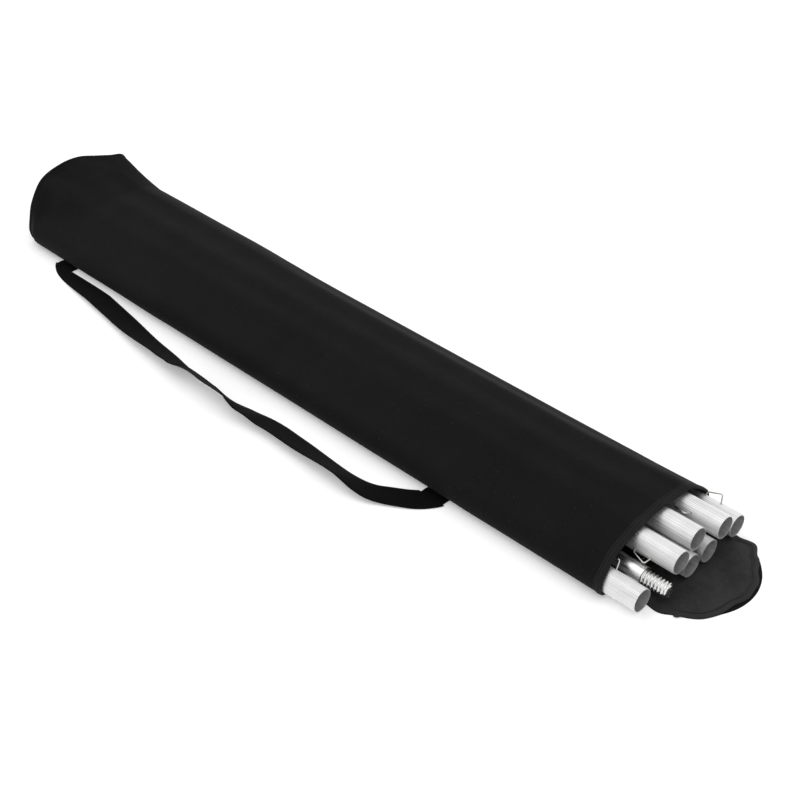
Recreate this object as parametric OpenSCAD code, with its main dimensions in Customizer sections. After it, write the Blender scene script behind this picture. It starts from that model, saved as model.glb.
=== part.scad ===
// Background support kit: fluted poles with wire clips and a jack screw, packed in a round-ended carry bag.
// Millimetres. +X runs along the bag towards its open mouth, +Z is up, and the bag rests on z = 0.
// The origin is the centre of the bag's flat underside.

/* [Poles] */
// Outside diameter of a pole
pole_od = 31.75; // [30:0.25:32]
// Wall thickness of a pole
pole_wall = 1.1; // [0.9:0.1:1.6]
// Length of a pole
pole_len = 1170; // [1100:5:1175]
// Number of flutes round a pole
flute_count = 40; // [24:2:44]
// Depth of a flute
flute_depth = 0.35; // [0.2:0.05:0.5]
// Radius of the cutter that shapes a flute
flute_r = 0.75; // [0.5:0.05:0.9]

/* [Wire clips] */
// Diameter of the spring wire
wire_d = 2; // [1.5:0.1:2.2]
// Distance between the two feet of a clip
clip_span = 24; // [20:1:28]
// Height of the clip's finger loop above the pole
clip_high = 12.5; // [10:0.5:12.5]
// Height of the clip's low corner above the pole
clip_low = 5.5; // [4:0.5:7]
// How far the finger loop leans away from the pole's open end
clip_lean = 2; // [0:0.5:4]
// Diameter of the holes that the feet sit in
clip_hole_d = 3; // [2.6:0.1:3.4]

/* [Jack] */
// Outside diameter of the jack's tube
jack_od = 26; // [25:0.5:27]
// Wall thickness of the jack's tube
jack_wall = 1.2; // [1:0.1:1.2]
// Length of the jack's tube
jack_len = 610; // [400:10:800]
// Outside diameter of the screw's thread
screw_d = 21; // [19:0.5:21.5]
// Depth of the thread
thread_depth = 2; // [1:0.1:2.4]
// Pitch of the thread
pitch = 5; // [4:0.5:6]
// Length of screw that stands out of the tube
screw_out = 36.5; // [20:0.5:50]
// Length of the threaded part of the screw
screw_len = 230; // [200:5:300]
// Length of the nut in the tube's mouth
nut_len = 20; // [15:1:30]
// Depth of the nut's face behind the tube's end
nut_recess = 3; // [1:0.5:5]
// Diameter of the plain journal at the screw's inner end
journal_d = 9; // [7:0.5:10]
// Length of the guide bush that runs on the journal
guide_len = 12; // [8:1:20]

/* [Bag] */
// Length of the bag between its mouth and its end panel
bag_len = 1200; // [1190:5:1300]
// Thickness of the lined and padded fabric
fabric = 3; // [2.4:0.2:3]
// Clearance between the fabric and the poles that lie on it
pole_gap = 0.425; // [0.4:0.025:0.6]
// Length of the loose tail beyond the packed poles
tail_len = 80; // [70:5:90]
// Thickness of the end panel
panel_t = 6; // [3:1:8]
// Width of the binding round the mouth
binding_w = 14; // [8:1:20]
// Thickness of the binding
binding_t = 1; // [0.6:0.1:1.4]
// Width of the piping round the end panel
piping_w = 2.5; // [1.5:0.5:4]

/* [Mouth flap] */
// Radius of the round flap
flap_r = 88; // [80:1:92]
// Distance of the flap's centre in front of the mouth
flap_ahead = 50; // [40:1:60]
// Sideways place of the flap's centre
flap_y = 12; // [0:1:20]
// Thickness of the flap
flap_t = 2; // [1.5:0.5:2.5]
// Width of the flap's hem band
hem_w = 11; // [8:1:14]
// Thickness of the hem band
hem_t = 3; // [2.5:0.1:3]
// Half the angle that the hem band spans
hem_half_angle = 69; // [60:1:75]

/* [Shoulder strap] */
// Width of the webbing
strap_w = 38; // [30:1:40]
// Thickness of the webbing
strap_t = 2.2; // [2:0.1:3]
// How far a sewn end reaches under the bag's edge
anchor_reach = 16; // [15:1:20]
// Gap that the strap needs to swing up beside its sewn end
anchor_gap = 0.8; // [0.6:0.1:1.2]

/* [Hidden] */
$fn = 96;

pole_r = pole_od / 2;
bore_r = pole_r - pole_wall;
// Radius of the bag's outside where it wraps a pole; also the height of a pole that lies on the bag's floor.
wrap_r = pole_r + pole_gap + fabric;
inner_r = wrap_r - fabric;
floor_z = wrap_r;

// One pole per row: [open end x, centre y, centre z]. Poles 1, 3, 5 and 7 lie on the floor, the others on them.
POLES = [
    [657, -95, floor_z],
    [662, -29, 40],
    [662, -4.4, floor_z],
    [654, 14.2, 45.6],
    [661, 32.8, floor_z],
    [663, 58.5, 42.5],
    [658, 96, floor_z]
];

// One wire clip per row: [pole index, distance of its near foot from the pole's open end, angle from +Z].
CLIPS = [
    [0, 48, 42],
    [1, 32, -100],
    [5, 42, -65],
    [6, 30, 20]
];
clip_foot_r = bore_r + 0.35;

jack_r = jack_od / 2;
jack_bore_r = jack_r - jack_wall;
jack_end_x = 632;
jack_y = -57;
jack_z = fabric + pole_gap + jack_r;
running_gap = 0.05;
screw_tip_x = jack_end_x + screw_out;
screw_inner_x = screw_tip_x - screw_len;
core_d = screw_d - 2 * thread_depth;
crest_w = pitch * 0.25;
flank_w = (pitch - 2 * crest_w) / 2;
thread_count = floor(screw_len / pitch);
head_len = 3;
guide_play = 0.2;

mouth_x = bag_len / 2;
tail_x = -mouth_x + tail_len;
panel_x = -mouth_x;
// Centres of the circles that the bag's section wraps, in order over the top, as [y, z].
BODY_WRAP = [for (i = [0, 1, 3, 5, 6]) [POLES[i][1], POLES[i][2]]];
TAIL_WRAP = [BODY_WRAP[0], [-42, 60], [25, 75], [79, 66], BODY_WRAP[4]];
// Number of straight steps that an outline takes round each circle
wrap_steps = 10;
cut = 1;

flap_x = mouth_x + flap_ahead;
binding_lip = 2;
flap_start_x = mouth_x + binding_lip + 1.5;
flap_turn = 2;

strap_edge_y = -118.3;
// Centre line of the shoulder strap on the floor, from its far end to its near end, as [x, y].
STRAP = [
    [-500, -98],
    [-484, -112],
    [-459, -122],
    [-408, -131],
    [-364, -137],
    [-289, -148],
    [-219, -159],
    [-161, -165],
    [-104, -172],
    [-54, -173],
    [7, -175],
    [76, -168],
    [127, -169],
    [227, -173],
    [268, -169],
    [296, -154],
    [322, -136],
    [337, -118],
    [346, -98]
];
strap_steps = 4;

// Turns a flat outline, drawn as y and z, into a solid that runs along +X from x0.
module along_x(x0, length) {
    translate([x0, 0, 0])
        rotate([90, 0, 90])
            linear_extrude(length)
                children();
}

// Direction of the straight run from one wrap circle to the next.
function run_angle(centres, i) =
    atan2(centres[i + 1][1] - centres[i][1], centres[i + 1][0] - centres[i][0]);

// Outline of a sheet pulled tight over circles of radius r, flat along the bottom.
function wrap_points(centres, r) =
    let (last = len(centres) - 1)
    [for (i = [0 : last])
        let (from = i == 0 ? 270 : run_angle(centres, i - 1) + 90)
        let (to = i == last ? -90 : run_angle(centres, i) + 90)
        for (k = [0 : wrap_steps])
            let (a = from + (to - from) * k / wrap_steps)
            centres[i] + r * [cos(a), sin(a)]];

module wrap(centres, r) {
    polygon(wrap_points(centres, r));
}

// Removes whatever an outline has below the floor.
module above_floor() {
    intersection() {
        children();
        translate([-200, 0]) square([400, 200]);
    }
}

// Straight round wire between two points.
module wire(p, q) {
    v = q - p;
    translate(p)
        rotate([0, acos(v[2] / norm(v)), atan2(v[1], v[0])])
            cylinder(h = norm(v), d = wire_d, $fn = 24);
}

module bag_body() {
    color([0.10, 0.10, 0.11])
        difference() {
            along_x(tail_x, mouth_x - tail_x) wrap(BODY_WRAP, wrap_r);
            along_x(tail_x - cut, mouth_x - tail_x + 2 * cut) wrap(BODY_WRAP, inner_r);
        }
}

// Ring of points round the bag at x.
function ring(x, centres, r) = [for (p = wrap_points(centres, r)) [x, p[0], p[1]]];

// Blends the body's section into the taller end section, as a wall between an outer and an inner skin.
module bag_tail() {
    end_x = panel_x + panel_t;
    rings = [ring(tail_x, BODY_WRAP, wrap_r), ring(end_x, TAIL_WRAP, wrap_r),
        ring(end_x, TAIL_WRAP, inner_r), ring(tail_x, BODY_WRAP, inner_r)];
    count = len(rings[0]);
    faces = [for (k = [0 : 3], i = [0 : count - 1])
        let (here = k * count, there = (k + 1) % 4 * count, next = (i + 1) % count)
        for (face = [[here + i, there + i, here + next], [here + next, there + i, there + next]])
            face];
    color([0.11, 0.11, 0.12])
        polyhedron([for (points = rings) each points], faces);
}

module bag_end_panel() {
    color([0.09, 0.09, 0.10])
        along_x(panel_x, panel_t) wrap(TAIL_WRAP, wrap_r - piping_w);
}

module bag_end_piping() {
    color([0.06, 0.06, 0.06])
        along_x(panel_x, panel_t)
            difference() {
                wrap(TAIL_WRAP, wrap_r);
                wrap(TAIL_WRAP, wrap_r - piping_w);
            }
}

module mouth_binding() {
    color([0.16, 0.16, 0.17])
        difference() {
            along_x(mouth_x - binding_w + binding_lip, binding_w)
                above_floor() wrap(BODY_WRAP, wrap_r + binding_t);
            along_x(mouth_x - binding_w - cut, binding_w + cut) wrap(BODY_WRAP, wrap_r);
            along_x(mouth_x - cut, binding_lip + 2 * cut) wrap(BODY_WRAP, inner_r);
        }
}

// Sector that the hem band covers, wide enough to reach past the flap's rim.
module hem_sector() {
    reach = 2 * flap_r;
    polygon([for (a = [-hem_half_angle, 0, hem_half_angle])
            reach * [cos(a + flap_turn), sin(a + flap_turn)],
        [0, 0]]);
}

module hem_outline() {
    intersection() {
        difference() {
            circle(flap_r);
            circle(flap_r - hem_w);
        }
        hem_sector();
    }
}

module flap_panel() {
    color([0.19, 0.19, 0.20])
        translate([flap_x, flap_y, 0])
            linear_extrude(flap_t)
                difference() {
                    circle(flap_r);
                    hem_outline();
                    translate([-2 * flap_r - flap_x + flap_start_x, -flap_r]) square(2 * flap_r);
                }
}

module flap_hem_band() {
    color([0.08, 0.08, 0.08])
        translate([flap_x, flap_y, 0])
            linear_extrude(hem_t)
                hem_outline();
}

// Smooth point between p[i] and p[i + 1] at t from 0 to 1.
function spline(p, i, t) =
    let (a = p[max(i - 1, 0)], b = p[i], c = p[i + 1], d = p[min(i + 2, len(p) - 1)])
    0.5 * (2 * b + (c - a) * t + (2 * a - 5 * b + 4 * c - d) * t * t + (3 * b - a - 3 * c + d) * t * t * t);

strap_line = [for (i = [0 : len(STRAP) - 2], k = [0 : strap_steps - 1]) spline(STRAP, i, k / strap_steps),
    STRAP[len(STRAP) - 1]];

// Edge of the webbing, w to the left of its centre line.
function strap_side(w) =
    let (last = len(strap_line) - 1)
    [for (i = [0 : last])
        let (v = strap_line[min(i + 1, last)] - strap_line[max(i - 1, 0)])
        strap_line[i] + w * [-v[1], v[0]] / norm(v)];

function reversed(list) = [for (i = [len(list) - 1 : -1 : 0]) list[i]];

module shoulder_strap() {
    color([0.07, 0.07, 0.07])
        linear_extrude(strap_t)
            intersection() {
                polygon(concat(strap_side(strap_w / 2), reversed(strap_side(-strap_w / 2))));
                translate([-mouth_x, strap_edge_y - bag_len]) square(bag_len);
            }
}

// Doubled end of the webbing, sewn to the bag's lower edge.
module strap_anchor(x) {
    color([0.06, 0.06, 0.06])
        translate([x - strap_w / 2, strap_edge_y + anchor_gap, 0])
            cube([strap_w, anchor_reach, strap_t]);
}

module strap_anchor_near() {
    strap_anchor(336);
}

module strap_anchor_far() {
    strap_anchor(-484);
}

module fluted_ring() {
    difference() {
        circle(pole_r);
        for (i = [0 : flute_count - 1])
            rotate(i * 360 / flute_count)
                translate([pole_r + flute_r - flute_depth, 0])
                    circle(flute_r, $fn = 16);
        circle(bore_r);
    }
}

// Places children at a clip's near foot: +X along the pole, +Z straight out of it.
module at_clip(clip) {
    pole = POLES[clip[0]];
    translate([pole[0] - clip[1], pole[1], pole[2]])
        rotate([-clip[2], 0, 0])
            children();
}

module pole(n) {
    pole = POLES[n - 1];
    color([0.86, 0.87, 0.88])
        difference() {
            translate([0, pole[1], pole[2]])
                along_x(pole[0] - pole_len, pole_len)
                    fluted_ring();
            for (clip = CLIPS)
                if (clip[0] == n - 1)
                    at_clip(clip)
                        for (x = [0, -clip_span])
                            translate([x, 0, 0]) cylinder(h = pole_r + cut, d = clip_hole_d, $fn = 32);
        }
}

module pole_1() {
    pole(1);
}

module pole_2() {
    pole(2);
}

module pole_3() {
    pole(3);
}

module pole_4() {
    pole(4);
}

module pole_5() {
    pole(5);
}

module pole_6() {
    pole(6);
}

module pole_7() {
    pole(7);
}

// Spring wire with a foot in each hole: the tall corner by the open end is the finger loop.
module wire_clip(clip) {
    near_foot = [0, 0, clip_foot_r];
    near_top = [-clip_lean, 0, pole_r + clip_high];
    far_top = [-clip_span + 1, 0, pole_r + clip_low];
    far_foot = [-clip_span, 0, clip_foot_r];
    color([0.72, 0.73, 0.75])
        at_clip(clip) {
            wire(near_foot, near_top);
            wire(near_top, far_top);
            wire(far_top, far_foot);
            translate(near_top) sphere(d = wire_d, $fn = 24);
            translate(far_top) sphere(d = wire_d, $fn = 24);
        }
}

module wire_clip_1() {
    wire_clip(CLIPS[0]);
}

module wire_clip_2() {
    wire_clip(CLIPS[1]);
}

module wire_clip_6() {
    wire_clip(CLIPS[2]);
}

module wire_clip_7() {
    wire_clip(CLIPS[3]);
}

module jack_tube() {
    color([0.80, 0.81, 0.83])
        translate([0, jack_y, jack_z])
            along_x(jack_end_x - jack_len, jack_len)
                difference() {
                    circle(jack_r);
                    circle(jack_bore_r);
                }
}

module jack_nut() {
    color([0.62, 0.62, 0.63])
        translate([0, jack_y, jack_z])
            along_x(jack_end_x - nut_recess - nut_len, nut_len)
                difference() {
                    circle(jack_bore_r);
                    circle(screw_d / 2 + running_gap);
                }
}

// Half section of the threaded rod, as [radius, distance from its inner end].
function thread_points() =
    [for (i = [0 : thread_count - 1], p = [
            [core_d / 2, i * pitch],
            [core_d / 2, i * pitch + crest_w],
            [screw_d / 2, i * pitch + crest_w + flank_w],
            [screw_d / 2, (i + 1) * pitch - flank_w]])
        p];

module jack_screw() {
    journal_len = guide_len + guide_play;
    color([0.75, 0.76, 0.78])
        translate([screw_inner_x, jack_y, jack_z])
            rotate([0, 90, 0])
                rotate_extrude()
                    polygon(concat(
                        [[0, -journal_len - head_len], [core_d / 2, -journal_len - head_len],
                            [core_d / 2, -journal_len], [journal_d / 2, -journal_len], [journal_d / 2, 0]],
                        thread_points(),
                        [[core_d / 2, thread_count * pitch], [core_d / 2, screw_len], [0, screw_len]]));
}

module jack_guide_bush() {
    color([0.13, 0.13, 0.14])
        translate([0, jack_y, jack_z])
            along_x(screw_inner_x - guide_len - guide_play / 2, guide_len)
                difference() {
                    circle(jack_bore_r - running_gap);
                    circle(journal_d / 2 + running_gap);
                }
}

bag_body();
bag_tail();
bag_end_panel();
bag_end_piping();
mouth_binding();
flap_panel();
flap_hem_band();
shoulder_strap();
strap_anchor_near();
strap_anchor_far();
pole_1();
pole_2();
pole_3();
pole_4();
pole_5();
pole_6();
pole_7();
wire_clip_1();
wire_clip_2();
wire_clip_6();
wire_clip_7();
jack_tube();
jack_nut();
jack_screw();
jack_guide_bush();
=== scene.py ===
"""Looks of a packed background support kit: a bag with its flap and strap, fluted poles, clips and a jack.

Everything is in metres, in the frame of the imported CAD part: +X runs towards the bag's mouth, +Z is up and
the bag lies on z = 0. Positions come from the CAD nodes' boxes, and sizes are the fields of each class.
"""

import logging
import math
from collections.abc import Iterator
from contextlib import contextmanager
from dataclasses import dataclass, field
from enum import Enum

import bpy
import numpy as np
from mathutils import Matrix, Vector, noise

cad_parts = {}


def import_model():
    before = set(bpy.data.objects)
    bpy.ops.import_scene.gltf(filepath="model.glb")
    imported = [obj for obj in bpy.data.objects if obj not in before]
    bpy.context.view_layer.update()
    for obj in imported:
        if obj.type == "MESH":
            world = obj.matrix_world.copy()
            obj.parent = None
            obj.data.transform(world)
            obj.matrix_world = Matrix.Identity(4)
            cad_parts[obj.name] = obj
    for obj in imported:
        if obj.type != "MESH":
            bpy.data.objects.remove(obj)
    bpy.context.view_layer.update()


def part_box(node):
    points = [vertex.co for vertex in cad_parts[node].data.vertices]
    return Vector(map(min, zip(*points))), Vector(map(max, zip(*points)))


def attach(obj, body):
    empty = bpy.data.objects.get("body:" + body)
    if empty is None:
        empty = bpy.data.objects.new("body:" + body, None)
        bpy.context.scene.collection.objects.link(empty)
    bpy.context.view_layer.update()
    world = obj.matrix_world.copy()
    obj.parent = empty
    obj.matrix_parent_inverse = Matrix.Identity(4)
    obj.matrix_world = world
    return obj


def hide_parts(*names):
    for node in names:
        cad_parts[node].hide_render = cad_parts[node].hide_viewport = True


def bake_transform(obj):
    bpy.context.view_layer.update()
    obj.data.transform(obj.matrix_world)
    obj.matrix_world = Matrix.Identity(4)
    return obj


MM = 0.001
log = logging.getLogger("support_kit")


# -------------------------------------------------------------------------------- small helpers


def linear(hex_colour: str) -> tuple[float, float, float, float]:
    """Turns an sRGB hex colour into linear RGBA.

    Args:
        hex_colour: A colour such as "#1c1c1d".

    Returns:
        The linear red, green and blue, and an alpha of 1.
    """
    channels = [int(hex_colour[i : i + 2], 16) / 255 for i in (1, 3, 5)]
    return (*[c / 12.92 if c <= 0.04045 else ((c + 0.055) / 1.055) ** 2.4 for c in channels], 1.0)


def smooth(t: np.ndarray | float) -> np.ndarray | float:
    """Eases t from 0 to 1, and holds it there outside that range."""
    t = np.clip(t, 0, 1)
    return t * t * (3 - 2 * t)


def bump(t: np.ndarray | float, middle: float, half_width: float) -> np.ndarray | float:
    """A soft hill that is 1 at middle and 0 from half_width away."""
    return smooth(1 - np.abs(t - middle) / half_width)


def through_keys(x: np.ndarray, keys: tuple[tuple[float, float], ...]) -> np.ndarray:
    """Reads a value that eases from one key to the next.

    Args:
        x: Where to read it.
        keys: (place, value) pairs, in rising order of place.

    Returns:
        The value at each x.
    """
    places = np.array([k[0] for k in keys])
    values = np.array([k[1] for k in keys])
    i = np.clip(np.searchsorted(places, x) - 1, 0, len(keys) - 2)
    t = smooth((x - places[i]) / (places[i + 1] - places[i]))
    return values[i] + (values[i + 1] - values[i]) * t


def catmull_rom(points: np.ndarray, steps: int, closed: bool) -> np.ndarray:
    """Draws a smooth line through points.

    Args:
        points: The points, one per row.
        steps: Number of steps between neighbouring points.
        closed: Whether the line joins up with its start.

    Returns:
        The points of the line, without a repeated last point if it is closed.
    """
    count = len(points)
    line = []
    for i in range(count if closed else count - 1):
        a, b, c, d = [points[k % count if closed else min(max(k, 0), count - 1)] for k in range(i - 1, i + 3)]
        for t in np.arange(steps) / steps:
            bend = (2 * a - 5 * b + 4 * c - d) * t**2 + (3 * b - a - 3 * c + d) * t**3
            line.append(0.5 * (2 * b + (c - a) * t + bend))
    if not closed:
        line.append(points[-1])
    return np.array(line)


def evenly(line: np.ndarray, count: int, closed: bool) -> np.ndarray:
    """Places points at even distances along a line.

    Args:
        line: The line's points.
        count: Number of points to place.
        closed: Whether the line joins up with its start.

    Returns:
        The new points.
    """
    if closed:
        line = np.vstack([line, line[:1]])
    along = np.concatenate([[0], np.cumsum(np.linalg.norm(np.diff(line, axis=0), axis=1))])
    wanted = np.linspace(0, along[-1], count, endpoint=not closed)
    return np.column_stack([np.interp(wanted, along, line[:, k]) for k in range(line.shape[1])])


def unit(vectors: np.ndarray) -> np.ndarray:
    """Scales each row to length 1."""
    return vectors / np.linalg.norm(vectors, axis=-1, keepdims=True)


def noise_at(points: np.ndarray) -> np.ndarray:
    """Smooth noise from about -1 to 1, the same in each run, at each row of an array of points."""
    flat = points.reshape(-1, 3)
    return np.array([noise.noise(Vector(p)) for p in flat]).reshape(points.shape[:-1])


def only(obj: bpy.types.Object) -> None:
    """Makes obj the one selected and active object."""
    if bpy.context.object and bpy.context.object.mode != "OBJECT":
        bpy.ops.object.mode_set(mode="OBJECT")
    bpy.ops.object.select_all(action="DESELECT")
    obj.select_set(True)
    bpy.context.view_layer.objects.active = obj


@contextmanager
def editing(obj: bpy.types.Object) -> Iterator[None]:
    """Edit mode on obj alone, which starts with all of it selected."""
    only(obj)
    bpy.ops.object.mode_set(mode="EDIT")
    bpy.ops.mesh.select_all(action="SELECT")
    yield
    bpy.ops.object.mode_set(mode="OBJECT")


def apply_modifier(obj: bpy.types.Object, kind: str, **settings: object) -> None:
    """Adds a modifier to obj with these settings and applies it."""
    only(obj)
    modifier = obj.modifiers.new(kind.title(), kind)
    for name, value in settings.items():
        setattr(modifier, name, value)
    bpy.ops.object.modifier_apply(modifier=modifier.name)


def merge_doubles(obj: bpy.types.Object, distance: float = 1e-6) -> None:
    """Joins vertices that lie on each other."""
    with editing(obj):
        bpy.ops.mesh.remove_doubles(threshold=distance)


def face_outwards(obj: bpy.types.Object) -> None:
    """Turns every face of a closed mesh to the outside."""
    with editing(obj):
        bpy.ops.mesh.normals_make_consistent(inside=False)


def dress(obj: bpy.types.Object, material: bpy.types.Material, sharp_from: float = 40) -> bpy.types.Object:
    """Gives obj its one material and smooth shading.

    Args:
        obj: The piece.
        material: Its material.
        sharp_from: Edges that turn by more than this angle, in degrees, stay sharp.

    Returns:
        The piece.
    """
    obj.data.materials.clear()
    obj.data.materials.append(material)
    only(obj)
    bpy.ops.object.shade_smooth_by_angle(angle=math.radians(sharp_from))
    return obj


def loft(
    name: str, rings: np.ndarray, around: bool = True, along: bool = False, caps: bool = False
) -> bpy.types.Object:
    """Makes a mesh from rings of points, with a UV map in metres.

    Args:
        name: The piece's name.
        rings: The points, as ring by place round the ring by coordinate.
        around: Whether each ring joins up with its start.
        along: Whether the last ring joins the first.
        caps: Whether the first and last ring are filled.

    Returns:
        The new object.
    """
    n, m = rings.shape[:2]
    across = np.concatenate([[0], np.cumsum(np.linalg.norm(np.diff(rings, axis=1), axis=2).mean(0))])
    across = np.append(across, across[-1] + np.linalg.norm(rings[:, 0] - rings[:, -1], axis=1).mean())
    down = np.concatenate([[0], np.cumsum(np.linalg.norm(np.diff(rings, axis=0), axis=2).mean(1))])
    down = np.append(down, down[-1] + np.linalg.norm(rings[0] - rings[-1], axis=1).mean())
    faces, corners = [], []
    for i in range(n if along else n - 1):
        for j in range(m if around else m - 1):
            below, beside = (i + 1) % n, (j + 1) % m
            faces.append([i * m + j, i * m + beside, below * m + beside, below * m + j])
            corners += [(across[a], down[b]) for a, b in ((j, i), (j + 1, i), (j + 1, i + 1), (j, i + 1))]
    if caps:
        for ring, order in ((0, range(m - 1, -1, -1)), (n - 1, range(m))):
            faces.append([ring * m + j for j in order])
            corners += [(across[j], down[ring]) for j in order]
    mesh = bpy.data.meshes.new(name)
    mesh.from_pydata(rings.reshape(-1, 3).tolist(), [], faces)
    mesh.uv_layers.new(name="cloth").data.foreach_set("uv", np.array(corners).ravel())
    obj = bpy.data.objects.new(name, mesh)
    bpy.context.scene.collection.objects.link(obj)
    return obj


def add_node(tree: bpy.types.NodeTree, kind: str, feeds: dict, **settings: object) -> bpy.types.Node:
    """Adds a node to a material's tree.

    Args:
        tree: The material's tree.
        kind: The node's type.
        feeds: What feeds each named or numbered input: a value, or the output of another node.
        **settings: The node's own settings.

    Returns:
        The new node.
    """
    node = tree.nodes.new(kind)
    for name, value in settings.items():
        setattr(node, name, value)
    for name, value in feeds.items():
        if isinstance(value, bpy.types.NodeSocket):
            tree.links.new(value, node.inputs[name])
        else:
            node.inputs[name].default_value = value
    return node


def empty_material(name: str) -> tuple[bpy.types.Material, bpy.types.NodeTree]:
    """A new material and its tree, with no nodes in it."""
    material = bpy.data.materials.new(name)
    material.use_nodes = True
    material.node_tree.nodes.clear()
    return material, material.node_tree


def surface(tree: bpy.types.NodeTree, feeds: dict) -> None:
    """Ends a tree in a Principled shader with these feeds."""
    shader = add_node(tree, "ShaderNodeBsdfPrincipled", feeds)
    add_node(tree, "ShaderNodeOutputMaterial", {"Surface": shader.outputs["BSDF"]})


# -------------------------------------------------------------------------------- finishes


class Weave(Enum):
    """How the two sets of threads make the cloth's relief, as the Math node's operation."""

    PLAIN = "MULTIPLY"
    RIBBED = "MAXIMUM"


class Ground(Enum):
    """What a cloth's threads follow: the piece's own UV map in metres, or the object's coordinates."""

    LAID_OUT = "UV"
    SOLID = "Object"


@dataclass(frozen=True)
class WovenCloth:
    """Woven cloth: a fine grid of threads, a few worn patches, soft dents where it is slack, and lint."""

    name: str
    colour: str
    worn: str
    warp: float
    weft: float
    weave: Weave = Weave.PLAIN
    ground: Ground = Ground.LAID_OUT
    relief: float = 0.25 * MM
    roughness: float = 0.85
    gloss: float = 0.2
    sheen: float = 0.01
    # How strongly specks of lint show over the cloth, and their size and colour.
    lint: float = 0.12
    lint_size: float = 2.381 * MM
    lint_colour: str = "#8a8a88"
    patch_size: float = 71.43 * MM
    dent_size: float = 26.32 * MM
    dent_depth: float = 1.6 * MM

    def threads(
        self, tree: bpy.types.NodeTree, place: bpy.types.NodeSocket, axis: str, pitch: float
    ) -> bpy.types.NodeSocket:
        """Adds one set of threads.

        Args:
            tree: The material's tree.
            place: The coordinates that the threads follow.
            axis: "X" or "Y", the direction across the threads.
            pitch: Distance from one thread to the next.

        Returns:
            The threads' height, from 0 to 1.
        """
        scale = 2 * math.pi / 20 / pitch  # a wave texture of scale 1 repeats each 2 pi / 20
        uneven = {"Distortion": 0.7, "Detail": 1.0, "Detail Scale": 0.6}
        wave = {"Vector": place, "Scale": scale, **uneven}
        return add_node(tree, "ShaderNodeTexWave", wave, bands_direction=axis).outputs["Fac"]

    def material(self) -> bpy.types.Material:
        """The cloth's material."""
        material, tree = empty_material(self.name)
        place = add_node(tree, "ShaderNodeTexCoord", {})
        cloth, solid = place.outputs[self.ground.value], place.outputs["Object"]
        threads = {0: self.threads(tree, cloth, "X", self.warp), 1: self.threads(tree, cloth, "Y", self.weft)}
        grid = add_node(tree, "ShaderNodeMath", threads, operation=self.weave.value).outputs["Value"]
        patches = add_node(
            tree,
            "ShaderNodeTexNoise",
            {"Vector": solid, "Scale": 1 / self.patch_size, "Detail": 5.0, "Roughness": 0.6},
        )
        wear = add_node(
            tree, "ShaderNodeMapRange", {"Value": patches.outputs["Fac"], "From Min": 0.38, "From Max": 0.72}
        )
        dyed = add_node(
            tree,
            "ShaderNodeMix",
            {0: wear.outputs["Result"], 6: linear(self.colour), 7: linear(self.worn)},
            data_type="RGBA",
        )
        woven = add_node(
            tree,
            "ShaderNodeMix",
            {0: 0.45, 6: dyed.outputs[2], 7: grid},
            data_type="RGBA",
            blend_type="MULTIPLY",
        )
        specks = add_node(
            tree,
            "ShaderNodeTexNoise",
            {"Vector": solid, "Scale": 1 / self.lint_size, "Detail": 1.0, "Roughness": 0.4},
        )
        lint = add_node(
            tree,
            "ShaderNodeMapRange",
            {"Value": specks.outputs["Fac"], "From Min": 0.73, "From Max": 0.82, "To Max": self.lint},
        )
        colour = add_node(
            tree,
            "ShaderNodeMix",
            {0: lint.outputs["Result"], 6: woven.outputs[2], 7: linear(self.lint_colour)},
            data_type="RGBA",
        )
        rough = add_node(
            tree,
            "ShaderNodeMapRange",
            {"Value": grid, "To Min": self.roughness + 0.08, "To Max": self.roughness - 0.08},
        )
        woven_relief = add_node(
            tree, "ShaderNodeBump", {"Height": grid, "Strength": 0.6, "Distance": self.relief}
        )
        dents = add_node(
            tree,
            "ShaderNodeTexNoise",
            {"Vector": solid, "Scale": 1 / self.dent_size, "Detail": 3.0, "Roughness": 0.5},
        )
        relief = add_node(
            tree,
            "ShaderNodeBump",
            {
                "Height": dents.outputs["Fac"],
                "Normal": woven_relief.outputs["Normal"],
                "Strength": 0.35,
                "Distance": self.dent_depth,
            },
        )
        surface(
            tree,
            {
                "Base Color": colour.outputs[2],
                "Roughness": rough.outputs["Result"],
                "Normal": relief.outputs["Normal"],
                "Specular IOR Level": self.gloss,
                "Sheen Weight": self.sheen,
                "Sheen Roughness": 0.6,
            },
        )
        return material


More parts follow.
